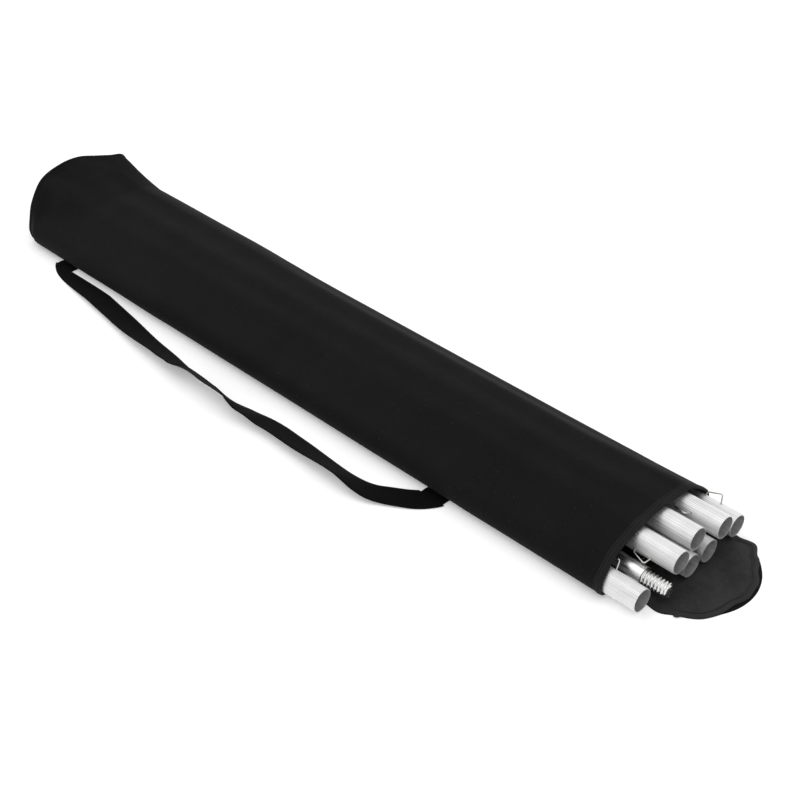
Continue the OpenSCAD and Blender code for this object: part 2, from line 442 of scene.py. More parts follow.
@dataclass(frozen=True)
class DrawnMetal:
    """Metal with fine lines along +X, as drawing, extruding or turning leaves them, and faint clouds."""

    name: str
    colour: str
    dull: str
    roughness: float
    line: float
    line_length: float = 60 * MM
    relief: float = 0.03 * MM
    roughness_spread: float = 0.08
    # How much darker the lines are than the metal between them, from 0 for no difference to 1 for black.
    streak: float = 0.0
    cloud_size: float = 22.22 * MM

    def material(self) -> bpy.types.Material:
        """The metal's material."""
        material, tree = empty_material(self.name)
        place = add_node(tree, "ShaderNodeTexCoord", {}).outputs["Object"]
        pulled = add_node(
            tree, "ShaderNodeMapping", {"Vector": place, "Scale": (self.line / self.line_length, 1.0, 1.0)}
        )
        lines = add_node(
            tree,
            "ShaderNodeTexNoise",
            {"Vector": pulled.outputs["Vector"], "Scale": 1 / self.line, "Detail": 2.0, "Roughness": 0.55},
        ).outputs["Fac"]
        clouds = add_node(
            tree, "ShaderNodeTexNoise", {"Vector": place, "Scale": 1 / self.cloud_size, "Detail": 4.0}
        )
        dulled = add_node(
            tree, "ShaderNodeMapRange", {"Value": clouds.outputs["Fac"], "From Min": 0.4, "From Max": 0.75}
        )
        colour = add_node(
            tree,
            "ShaderNodeMix",
            {0: dulled.outputs["Result"], 6: linear(self.colour), 7: linear(self.dull)},
            data_type="RGBA",
        )
        shade = add_node(
            tree,
            "ShaderNodeMapRange",
            {"Value": lines, "From Min": 0.35, "From Max": 0.65, "To Min": 1 - self.streak, "To Max": 1.0},
        )
        streaked = add_node(
            tree,
            "ShaderNodeMix",
            {0: 1.0, 6: colour.outputs[2], 7: shade.outputs["Result"]},
            data_type="RGBA",
            blend_type="MULTIPLY",
        )
        smoothest, roughest = self.roughness - self.roughness_spread, self.roughness + self.roughness_spread
        rough = add_node(
            tree,
            "ShaderNodeMapRange",
            {"Value": lines, "From Min": 0.3, "From Max": 0.7, "To Min": smoothest, "To Max": roughest},
        )
        relief = add_node(tree, "ShaderNodeBump", {"Height": lines, "Strength": 0.4, "Distance": self.relief})
        surface(
            tree,
            {
                "Base Color": streaked.outputs[2],
                "Metallic": 1.0,
                "Roughness": rough.outputs["Result"],
                "Normal": relief.outputs["Normal"],
            },
        )
        return material


@dataclass(frozen=True)
class MouldedNylon:
    """Injection-moulded nylon: an even colour with a fine spark-eroded grain."""

    name: str
    colour: str
    grain: float = 0.6 * MM
    relief: float = 0.05 * MM
    refraction: float = 1.53

    def material(self) -> bpy.types.Material:
        """The nylon's material."""
        material, tree = empty_material(self.name)
        place = add_node(tree, "ShaderNodeTexCoord", {}).outputs["Object"]
        grain = add_node(
            tree, "ShaderNodeTexNoise", {"Vector": place, "Scale": 1 / self.grain, "Detail": 2.0}
        ).outputs["Fac"]
        rough = add_node(tree, "ShaderNodeMapRange", {"Value": grain, "To Min": 0.35, "To Max": 0.6})
        relief = add_node(tree, "ShaderNodeBump", {"Height": grain, "Strength": 0.3, "Distance": self.relief})
        surface(
            tree,
            {
                "Base Color": linear(self.colour),
                "IOR": self.refraction,
                "Roughness": rough.outputs["Result"],
                "Normal": relief.outputs["Normal"],
            },
        )
        return material


# Real threads lie about 0.5 mm apart, the webbing's ribs about 1 mm, and a metal's lines 0.1 mm or less.
# All are too fine to show, so the cloths' patterns are drawn about three times as coarse, and the metals'
# lines and the nylon's grain several times as coarse.

# Coated polyester Oxford in a plain weave: matt and near black, with a square grid of threads.
OXFORD = WovenCloth("oxford_polyester", "#0e0e0e", "#141414", warp=1.8 * MM, weft=1.8 * MM, gloss=0.12)
# The same kind of cloth folded over and sewn: fuller threads, and a little paler where the fold is rubbed.
BINDING = WovenCloth(
    "folded_hem_cloth", "#171717", "#212121", warp=1.6 * MM, weft=1.6 * MM, relief=0.3 * MM, gloss=0.2
)
# Lining cloth with a thin coating: smoother and greyer, mottled where the coating is creased, and holds lint.
LINING = WovenCloth(
    "coated_lining", "#202020", "#404040", warp=1.5 * MM, weft=1.5 * MM, roughness=0.7, gloss=0.25, lint=0.2
)
# The lining turned over along the flap's edge: pulled tighter, so it is less mottled.
TURNED_LINING = WovenCloth(
    "turned_lining", "#242424", "#333333", warp=1.5 * MM, weft=1.5 * MM, roughness=0.7, gloss=0.25, lint=0.15
)
# Polypropylene webbing, woven in thick ribs: the blackest of the cloths, with hardly any shine.
WEBBING = WovenCloth(
    "polypropylene_webbing",
    "#030303",
    "#070707",
    warp=1.9 * MM,
    weft=3.2 * MM,
    weave=Weave.RIBBED,
    relief=0.5 * MM,
    roughness=0.8,
    gloss=0.06,
    lint=0.05,
)
# Spun polyester sewing thread: twisted fibres, a little glossier than the cloth.
THREAD = WovenCloth(
    "spun_thread",
    "#0c0c0c",
    "#161616",
    warp=0.8 * MM,
    weft=0.8 * MM,
    ground=Ground.SOLID,
    gloss=0.3,
    lint=0.0,
)
# Extruded aluminium with a satin finish: pale, with broad soft highlights and darker lines along each pole.
ALUMINIUM = DrawnMetal(
    "satin_extruded_aluminium",
    "#f0f0f0",
    "#e4e4e4",
    roughness=0.45,
    line=0.9 * MM,
    line_length=220 * MM,
    streak=0.3,
)
# Drawn spring wire with nickel plating: bright, slightly warm, with sharp highlights.
SPRING_WIRE = DrawnMetal("nickel_plated_spring_wire", "#c9c8c4", "#a9a8a4", roughness=0.24, line=0.4 * MM)
# Drawn steel tube, chromed to a satin: bright, with reflections drawn out along it.
CHROME = DrawnMetal(
    "satin_chromed_steel_tube",
    "#e6e6e6",
    "#d6d6d6",
    roughness=0.27,
    line=0.8 * MM,
    line_length=120 * MM,
    streak=0.12,
)
# Rolled steel thread with bright zinc plating: glinting, with only short marks from rolling.
ZINC = DrawnMetal(
    "bright_zinc_plated_steel", "#e6e6e4", "#bfc0c0", roughness=0.2, line=0.5 * MM, line_length=2 * MM
)
# Turned steel nut with dull zinc plating: an even grey with soft highlights.
PLATED = DrawnMetal(
    "dull_zinc_plated_nut", "#9c9c9c", "#808080", roughness=0.38, line=0.4 * MM, line_length=0.6 * MM
)
# Moulded nylon: an even black with a faint grain.
NYLON = MouldedNylon("moulded_black_nylon", "#1e1e20")


# -------------------------------------------------------------------------------- sewn details


@dataclass
class StitchRow:
    """A row of lock stitches along a line that lies on cloth."""

    spacing: float = 3.4 * MM
    length: float = 2.5 * MM
    width: float = 0.8 * MM

    def build(
        self, name: str, line: np.ndarray, normals: np.ndarray, material: bpy.types.Material
    ) -> bpy.types.Object:
        """Lays the row.

        Args:
            name: The piece's name.
            line: Points along the seam.
            normals: The cloth's outward direction at each point.
            material: The thread's material.

        Returns:
            One object that holds all the stitches.
        """
        gaps = np.linalg.norm(np.diff(line, axis=0), axis=1)
        along = np.concatenate([[0], np.cumsum(gaps)])
        places = np.arange(self.spacing / 2, along[-1], self.spacing)
        at = np.column_stack([np.interp(places, along, line[:, k]) for k in range(3)])
        up = unit(np.column_stack([np.interp(places, along, normals[:, k]) for k in range(3)]))
        forward = unit(np.gradient(at, axis=0))
        bpy.ops.object.select_all(action="DESELECT")
        bpy.ops.mesh.primitive_uv_sphere_add(segments=8, ring_count=6, radius=0.5)
        stitch = bpy.context.object
        shape = np.array([v.co for v in stitch.data.vertices]) * (self.length, self.width, self.width * 0.7)
        sides = [list(p.vertices) for p in stitch.data.polygons]
        bpy.data.objects.remove(stitch)
        points, faces = [], []
        for p, f, u in zip(at, forward, up):
            side = np.cross(u, f)
            side /= np.linalg.norm(side)
            frame = np.array([f, side, np.cross(f, side)])
            faces += [[k + len(points) * len(shape) for k in face] for face in sides]
            points.append(shape @ frame + p)
        mesh = bpy.data.meshes.new(name)
        mesh.from_pydata(np.vstack(points).tolist(), [], faces)
        obj = bpy.data.objects.new(name, mesh)
        bpy.context.scene.collection.objects.link(obj)
        return dress(obj, material, 80)


# -------------------------------------------------------------------------------- the bag


@dataclass
class Bag:
    """The long bag: a sleeve pulled over the poles, a loose tail, a slack end panel and a hemmed mouth.

    The sleeve's mesh is a row of rings along the bag, each with as many points as there are columns.
    """

    wrapped: tuple[str, ...] = ("pole_1", "pole_2", "pole_4", "pole_6", "pole_7")
    fabric: float = 3 * MM
    columns: int = 132
    body_rings: int = 200
    tail_rings: int = 26
    tail_length: float = 85 * MM
    # Rim of the end panel in millimetres, as distance past the CAD panel's face (towards -X), y and z, from
    # the front lower corner over the top and back along the floor.
    rim: tuple[tuple[float, float, float], ...] = (
        (-8, -92, 0), (-4, -104, 16), (2, -97, 38), (12, -82, 60), (29, -49, 80), (33, -10, 90),
        (26, 22, 95), (10, 48, 94), (3, 70, 90), (-2, 92, 85), (-5, 100, 60), (-10, 98, 30),
        (-14, 92, 0.5), (-14, 40, 0), (-14, -30, 0),
    )
    # How far the cloth stands off the poles along the upper back corner, by place along the bag.
    back_swell: tuple[tuple[float, float], ...] = (
        (-0.54, 9 * MM), (-0.29, 7.5 * MM), (-0.05, 0.5 * MM), (0.40, 0.5 * MM), (0.51, 3 * MM),
        (0.60, 4.5 * MM),
    )
    mouth_lift: float = 2.4 * MM
    corner_reach: float = 9 * MM
    wave: float = 1.1 * MM
    # Length along the bag and breadth round it of the cloth's slow waves, and spacing of its drag lines.
    wave_length: float = 160 * MM
    wave_breadth: float = 70 * MM
    drag_spacing: float = 45 * MM
    drag_length: float = 200 * MM
    sag: float = 1.0 * MM
    pucker: float = 2.2 * MM
    # Dents by the end seam: place round it, as a part of its length, and depth in puckers.
    dents: tuple[tuple[float, float], ...] = ((0.17, 1.4), (0.27, 1.8), (0.42, 1.6), (0.53, 1.2))
    panel_rings: int = 30
    panel_slack: float = 14 * MM
    panel_crumple: float = 3 * MM
    panel_thickness: float = 1.6 * MM
    piping_r: float = 1.8 * MM
    # How far the hem reaches below the cloth's face, and how much lower it lies under the bag.
    hem_depth: float = 3.2 * MM
    hem_sink: float = 0.8 * MM
    stitches_in: float = 4.1 * MM
    stitches_up: float = 0.85 * MM

    centres: np.ndarray = field(init=False)
    radius: float = field(init=False)
    mouth_x: float = field(init=False)
    tail_x: float = field(init=False)
    end_x: float = field(init=False)
    outline: np.ndarray = field(init=False)
    normals: np.ndarray = field(init=False)
    rings: np.ndarray = field(init=False)

    def __post_init__(self) -> None:
        """Reads the places of the poles and of the bag's two ends."""
        boxes = [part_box(name) for name in self.wrapped]
        self.centres = np.array([((low.y + high.y) / 2, (low.z + high.z) / 2) for low, high in boxes])
        body_low, body_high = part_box("bag_body")
        self.radius = self.centres[0][1] - body_low.z
        self.mouth_x = body_high.x
        self.end_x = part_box("bag_end_panel")[0].x
        self.tail_x = self.end_x + self.tail_length
        self.outline = evenly(self.wrap(), self.columns, closed=True)
        ahead = np.roll(self.outline, -1, axis=0) - np.roll(self.outline, 1, axis=0)
        self.normals = unit(np.column_stack([-ahead[:, 1], ahead[:, 0]]))

    def wrap(self) -> np.ndarray:
        """The cloth's section over the outer poles, as y and z, from the front over the top to the back."""
        runs = [math.atan2(*(b - a)[::-1]) for a, b in zip(self.centres, self.centres[1:])]
        starts = [math.radians(270)] + [r + math.pi / 2 for r in runs]
        ends = [r + math.pi / 2 for r in runs] + [math.radians(-90)]
        points = []
        for centre, start, end in zip(self.centres, starts, ends):
            for a in np.linspace(start, end, 40):
                points.append(centre + self.radius * np.array([math.cos(a), math.sin(a)]))
        return np.array(points)

    def reach(self) -> np.ndarray:
        """How far the mouth's front lower corner sticks out, at each column."""
        y, z = self.outline.T
        front = smooth((-0.062 - y) / 0.052)
        return self.corner_reach * front * smooth((0.062 - z) / 0.03)

    def stand_off(self, x: np.ndarray) -> np.ndarray:
        """How far the cloth stands out from the tight section.

        Args:
            x: Place of each ring along the bag.

        Returns:
            The distance at each ring and column.
        """
        y, z = self.outline.T
        gap = np.linalg.norm(self.outline[:, None] - self.centres[None], axis=2).min(1) - self.radius
        free = smooth(z / 0.012)
        back = bump(y, 0.088, 0.04) * smooth((z - 0.02) / 0.02)
        top = smooth((z - 0.045) / 0.014)
        breadth = self.wave_breadth
        spot = np.broadcast_arrays(x[:, None] / self.wave_length, y[None] / breadth, z[None] / breadth)
        spot = np.stack(spot, axis=2)
        slow = 0.5 + 0.5 * noise_at(spot)
        fine = 0.5 + 0.5 * noise_at(spot * (3.1, 2.2, 2.2) + 7)
        hollow = smooth(gap / 0.009) * (0.6 + 0.4 * slow)
        far = smooth((0.55 - np.abs(x)) / 0.05)[:, None]
        # Soft drag lines that run slantwise down the front from the upper corner.
        drag = np.sin((x[:, None] + z[None] * 1.6) / self.drag_spacing) * bump(y, -0.11, 0.05)[None]
        stretch = np.stack(np.broadcast_arrays(x[:, None] / self.drag_length, 0 * y[None], 0.5), axis=2)
        patch = smooth(noise_at(stretch) * 2)
        return free * (
            through_keys(x, self.back_swell)[:, None] * back
            + self.mouth_lift * top * smooth((x - 0.45) / 0.13)[:, None]
            + self.wave * (0.7 * slow + 0.3 * fine)
            - self.sag * hollow * far
            + 0.5 * self.wave * (1 + drag) * patch * smooth((0.05 - z) / 0.02)
        )

    def body(self) -> np.ndarray:
        """Rings of the sleeve from the mouth to where the tail leaves the poles."""
        x = np.linspace(self.mouth_x, self.tail_x, self.body_rings)
        off = self.stand_off(x)
        section = self.outline[None] + off[..., None] * self.normals[None]
        shift = self.reach()[None] * smooth((x - self.mouth_x + 0.09) / 0.09)[:, None]
        points = np.dstack([x[:, None] + shift, section])
        points[..., 2] = np.maximum(points[..., 2], 0)
        return points

    def end_ring(self) -> np.ndarray:
        """The closed seam round the end panel, with as many points as the sleeve has columns."""
        points = np.array(self.rim) * MM
        points[:, 0] = self.end_x - points[:, 0]
        return evenly(catmull_rom(points, 12, closed=True), self.columns, closed=True)

    def tail(self, start: np.ndarray, end: np.ndarray) -> np.ndarray:
        """Rings that blend the sleeve into the end seam, gathered into small puckers there.

        Args:
            start: The sleeve's last ring.
            end: The end seam.

        Returns:
            The rings after the sleeve's last one.
        """
        t = np.linspace(0, 1, self.tail_rings + 1)[1:, None]
        # The lower front corner keeps the sleeve's shape for longer, so that pole 1 can be pushed right in.
        low_front = smooth((0.07 - start[:, 2]) / 0.03) * smooth((-0.05 - start[:, 1]) / 0.03)
        early = 0.65 * t + 0.35 * smooth(t)
        late = smooth((t - 0.66) / 0.34)
        mixed = early + (late - early) * low_front[None]
        points = start[None] + (end - start)[None] * mixed[..., None]
        points[..., 0] = start[None, :, 0] + (end - start)[None, :, 0] * t
        middle = points.mean(1, keepdims=True)
        outward = unit((points - middle) * (0, 1, 1))
        u = np.arange(self.columns) / self.columns
        gathers = np.abs(np.sin(2 * math.pi * 9 * u + 1.3 * np.sin(2 * math.pi * 2 * u))) ** 1.5
        near_seam = smooth((t - 0.45) / 0.4) * smooth((1.02 - t) / 0.12)
        dents = sum(bump(u, at, 0.035) * deep for at, deep in self.dents)
        spot = np.stack(np.broadcast_arrays(t * 1.6, 9 * u[None], 0.2), axis=2)
        gathered = near_seam * (0.55 * gathers[None] + dents[None])
        depth = self.pucker * (gathered + 0.7 * noise_at(spot) * smooth(t / 0.4))
        standing = smooth(points[..., 2] / 0.02)
        points = points - outward * (depth * standing * (1 - low_front[None]))[..., None]
        points[..., 2] = np.maximum(points[..., 2], 0)
        return points

    def build(self) -> None:
        """Makes every piece of the bag."""
        cloth = OXFORD.material()
        trim = BINDING.material()
        thread = THREAD.material()
        body = self.body()
        seam = self.end_ring()
        self.rings = np.concatenate([body, self.tail(body[-1], seam)])
        self.build_sleeve(cloth)
        self.build_end(seam, cloth, trim)
        self.build_mouth(trim, thread)

    def build_sleeve(self, cloth: bpy.types.Material) -> None:
        """Makes the sleeve and tail as one shell with the fabric's thickness."""
        sleeve = loft("bag_sleeve", self.rings)
        apply_modifier(sleeve, "SOLIDIFY", thickness=self.fabric, offset=-1, use_even_offset=True)
        dress(sleeve, cloth, 60)
        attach(sleeve, "bag")
        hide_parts("bag_body", "bag_tail")
        log.info("bag_sleeve: %d rings of %d", len(self.rings), self.columns)

    def build_end(self, seam: np.ndarray, cloth: bpy.types.Material, trim: bpy.types.Material) -> None:
        """Makes the slack end panel and the piping round it.

        Args:
            seam: The closed end seam.
            cloth: The panel's material.
            trim: The piping's material.
        """
        middle = seam.mean(0)
        inset = 1 - np.linspace(0, 1, self.panel_rings) ** 1.15
        rings = middle + (seam - middle)[None] * (inset * 0.985)[:, None, None]
        hollow = 1 - inset[:, None] ** 2
        spot = np.dstack([rings[..., 1] / 0.035, rings[..., 2] / 0.05, 0 * rings[..., 0] + 3])
        crumple = self.panel_crumple * noise_at(spot) * np.minimum(hollow * 3, 1) * inset[:, None]
        rings[..., 0] += self.panel_slack * hollow + crumple
        # Along the floor the panel meets the piping at its middle, and not below it.
        rings[..., 2] = np.maximum(rings[..., 2], self.piping_r)
        panel = loft("bag_end_cloth", rings)
        merge_doubles(panel)
        apply_modifier(panel, "SOLIDIFY", thickness=self.panel_thickness, offset=0)
        face_outwards(panel)
        dress(panel, cloth, 60)
        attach(panel, "bag")
        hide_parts("bag_end_panel")

        turns = np.linspace(0, 2 * math.pi, 10, endpoint=False)
        outward = unit(seam - middle)
        ahead = unit(np.roll(seam, -1, axis=0) - np.roll(seam, 1, axis=0))
        back = np.cross(ahead, outward)
        core = seam.copy()
        core[:, 2] = np.maximum(core[:, 2], self.piping_r)
        tube = [core + self.piping_r * (math.cos(a) * outward + math.sin(a) * back) for a in turns]
        cord = loft("bag_end_cord", np.stack(tube, axis=1), along=True)
        face_outwards(cord)
        dress(cord, trim)
        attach(cord, "bag")
        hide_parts("bag_end_piping")
        length = np.linalg.norm(np.diff(seam, axis=0), axis=1).sum()
        log.info("bag_end_cloth and bag_end_cord: seam %.3f m round", length)

    def build_mouth(self, trim: bpy.types.Material, thread: bpy.types.Material) -> None:
        """Makes the rolled hem round the mouth and its row of stitches.

        Args:
            trim: The hem's material.
            thread: The stitches' material.
        """
        # Section of the hem, as distance past the rim and height above the cloth, round the cloth's edge.
        profile = np.array(
            [
                (-10.5, -0.5), (-10.4, 0.0), (-9.2, 0.3), (-8.4, 0.1), (-7.6, -0.3), (-6.8, 0.3),
                (-5.5, 0.7), (-2.6, 0.75), (-1.9, 0.3), (-1.2, 0.7), (0.6, 0.5), (1.2, -0.3),
                (1.2, -1.9), (0.6, -3.0), (-0.5, -3.2), (-6, -3.2), (-6, -2.6),
            ]
        ) * MM
        rim = self.rings[0]
        out = np.column_stack([np.zeros(self.columns), self.normals])
        under = smooth((-self.normals[:, 1] - 0.4) / 0.5)
        rings = []
        for past, above in profile:
            height = np.maximum(above - self.hem_sink * under, -self.hem_depth)
            rings.append(rim + (past, 0, 0) + out * height[:, None])
        hem = loft("mouth_hem", np.stack(rings), along=True)
        face_outwards(hem)
        dress(hem, trim, 50)
        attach(hem, "bag")
        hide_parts("mouth_binding")

        seen = self.outline[:, 1] > 2 * MM
        row = rim[seen] + (-self.stitches_in, 0, 0) + out[seen] * self.stitches_up
        stitches = StitchRow().build("mouth_stitches", row, out[seen], thread)
        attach(stitches, "bag")
        log.info("mouth_hem and mouth_stitches")


# -------------------------------------------------------------------------------- the flap


@dataclass
class Flap:
    """The round flap, folded down on the floor: outer cloth, lining, a curling hem and stitches."""

    hem_width: float = 10 * MM
    hem_from: float = -66
    hem_to: float = 82
    thickness: float = 0.9 * MM
    outer_thickness: float = 0.5 * MM
    fine_ripple: float = 0.5 * MM
    slow_ripple: float = 0.9 * MM
    tallest_ripple: float = 1.1 * MM
    stitches_in: float = 7.4 * MM
    tab: float = 4 * MM
    rings: int = 34
    # Distance of the flap's rim from its centre, by angle from +X towards +Y.
    rim: tuple[tuple[float, float], ...] = (
        (-180, 87 * MM), (-90, 91 * MM), (-77, 95 * MM), (-64, 91 * MM), (-49, 92 * MM),
        (-26, 87 * MM), (39, 87 * MM), (56, 88 * MM), (69, 96 * MM), (83, 88 * MM), (100, 86 * MM),
        (180, 87 * MM),
    )
    # Where the hem curls up off the outer cloth: middle and half width in degrees, height, and how far it
    # draws back. Where it draws back, the black outer cloth shows as a dark band that is painted shade under
    # the curl.
    curls: tuple[tuple[float, float, float, float], ...] = (
        (36, 18, 0.4 * MM, 5 * MM),
        (12, 20, 0.3 * MM, 3.6 * MM),
        (-13, 20, 0.4 * MM, 5.6 * MM),
        (67, 8, 0.4 * MM, 0),
    )

    middle: np.ndarray = field(init=False)
    radius: float = field(init=False)
    root_x: float = field(init=False)

    def __post_init__(self) -> None:
        """Reads the flap's place and size."""
        low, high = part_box("flap_panel")
        band_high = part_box("flap_hem_band")[1]
        self.radius = (high.y - low.y) / 2
        self.middle = np.array([band_high.x - self.radius, (low.y + high.y) / 2])
        self.root_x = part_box("mouth_binding")[1].x

    def raised(self, degrees: np.ndarray, r: np.ndarray) -> np.ndarray:
        """How far the lining and hem stand up at each angle and distance from the flap's centre."""
        height = sum(bump(degrees, at, half) * high for at, half, high, _ in self.curls)
        return height * smooth((r - 0.056) / 0.03)

    def edge(self, degrees: np.ndarray) -> np.ndarray:
        """Distance from the flap's centre to the edge of its lining and hem at each angle."""
        # Drawing the edge back bares the black outer cloth, which shows as painted shade under the curled
        # hem.
        drawn = sum(bump(degrees, at, half) * back for at, half, _, back in self.curls)
        return through_keys(degrees, self.rim) - drawn

    def disc(
        self, name: str, reach: np.ndarray, degrees: np.ndarray, root: float
    ) -> tuple[np.ndarray, np.ndarray]:
        """Rings of points that shrink to the flap's centre, cut off straight by the mouth.

        Args:
            name: What the rings are for, in the log.
            reach: Distance from the centre to the first ring at each angle.
            degrees: The angles.
            root: Place along X of the straight edge.

        Returns:
            The points, flat on the floor, and their distances from the centre.
        """
        turn = np.radians(degrees)
        to_mouth = (self.middle[0] - root) / np.maximum(-np.cos(turn), 1e-3)
        first = np.where(np.cos(turn) < -1e-3, np.minimum(reach, to_mouth), reach)
        r = first[None] * np.linspace(1, 0, self.rings)[:, None]
        x = self.middle[0] + r * np.cos(turn)
        y = self.middle[1] + r * np.sin(turn)
        log.info("%s: %.3f m across", name, 2 * first.mean())
        return np.dstack([x, y, 0 * x]), r

    def build(self) -> None:
        """Makes the outer cloth, the lining, the hem and the stitches."""
        degrees = np.linspace(0, 360, 180, endpoint=False) - 180
        outer = self.build_outer(degrees)
        lining = self.build_lining(degrees)
        hem = self.build_hem()
        stitches = self.build_stitches()

    def build_outer(self, degrees: np.ndarray) -> bpy.types.Object:
        """Makes the outer cloth, which lies flat on the floor. Its black edge, bared where the hem draws
        back, is painted shade under the curl.
        """
        points, _ = self.disc("flap_outer", through_keys(degrees, self.rim), degrees, self.root_x + 2 * MM)
        points[..., 2] = self.outer_thickness + 0.1 * MM
        outer = loft("flap_outer", points)
        merge_doubles(outer)
        apply_modifier(outer, "SOLIDIFY", thickness=self.outer_thickness, offset=-1)
        face_outwards(outer)
        dress(outer, OXFORD.material(), 60)
        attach(outer, "flap")
        return outer

    def build_lining(self, degrees: np.ndarray) -> bpy.types.Object:
        """Makes the lining, cut off straight at the mouth."""
        hemmed = (degrees > self.hem_from) & (degrees < self.hem_to)
        reach = self.edge(degrees) - np.where(hemmed, 4 * MM, 0.6 * MM)
        points, r = self.disc("flap_lining", reach, degrees, self.root_x)
        spot = points / 0.03 + (0, 0, 5)
        ripple = noise_at(spot) * self.fine_ripple + noise_at(spot * 0.45 + 4) * self.slow_ripple
        calm = np.where(hemmed[None] & (r > self.radius - 16 * MM), 0.2, 1.0)
        lowest = self.outer_thickness + self.thickness + 0.2 * MM
        points[..., 2] = np.clip(lowest + 0.4 * MM + ripple * calm, lowest, lowest + self.tallest_ripple)
        points[..., 2] += self.raised(degrees[None], r)
        lining = loft("flap_lining", points)
        merge_doubles(lining)
        apply_modifier(lining, "SOLIDIFY", thickness=self.thickness, offset=-1)
        face_outwards(lining)
        dress(lining, LINING.material(), 60)
        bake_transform(lining)
        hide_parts("flap_panel")
        return lining

    def build_hem(self) -> bpy.types.Object:
        """Makes the turned hem round the flap's free edge, with a small tab that juts out at its front end.
        """
        # Section of the hem, as distance in from the edge and height off the floor.
        profile = np.array(
            [
                (10.2, 1.0), (10.0, 2.3), (9.2, 2.75), (8.4, 2.75), (7.9, 1.8), (6.9, 1.8),
                (6.4, 2.7), (3.0, 2.8), (1.0, 2.5), (0.0, 1.8), (0.3, 1.0), (1.4, 0.7), (9.0, 0.7),
            ]
        ) * MM
        degrees = np.linspace(self.hem_from, self.hem_to, 150)
        turn = np.radians(degrees)
        tab = self.tab * bump(degrees, self.hem_from + 2, 5)
        rings = []
        for inwards, height in profile:
            r = self.edge(degrees) + tab * (1 - inwards / self.hem_width) - inwards
            x = self.middle[0] + r * np.cos(turn)
            y = self.middle[1] + r * np.sin(turn)
            rings.append(np.column_stack([x, y, height + self.raised(degrees, r)]))
        hem = loft("flap_hem", np.stack(rings, axis=1), caps=True)
        face_outwards(hem)
        dress(hem, TURNED_LINING.material(), 50)
        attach(hem, "flap")
        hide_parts("flap_hem_band")
        return hem

    def build_stitches(self) -> bpy.types.Object:
        """Makes the row of stitches that holds the hem."""
        degrees = np.linspace(self.hem_from + 2, self.hem_to - 2, 160)
        turn = np.radians(degrees)
        r = self.edge(degrees) - self.stitches_in
        height = 1.95 * MM + self.raised(degrees, r)
        line = np.column_stack([self.middle[0] + r * np.cos(turn), self.middle[1] + r * np.sin(turn), height])
        upwards = np.tile((0.0, 0.0, 1.0), (len(line), 1))
        stitches = StitchRow().build("flap_stitches", line, upwards, THREAD.material())
        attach(stitches, "flap")
        return stitches


# -------------------------------------------------------------------------------- the strap


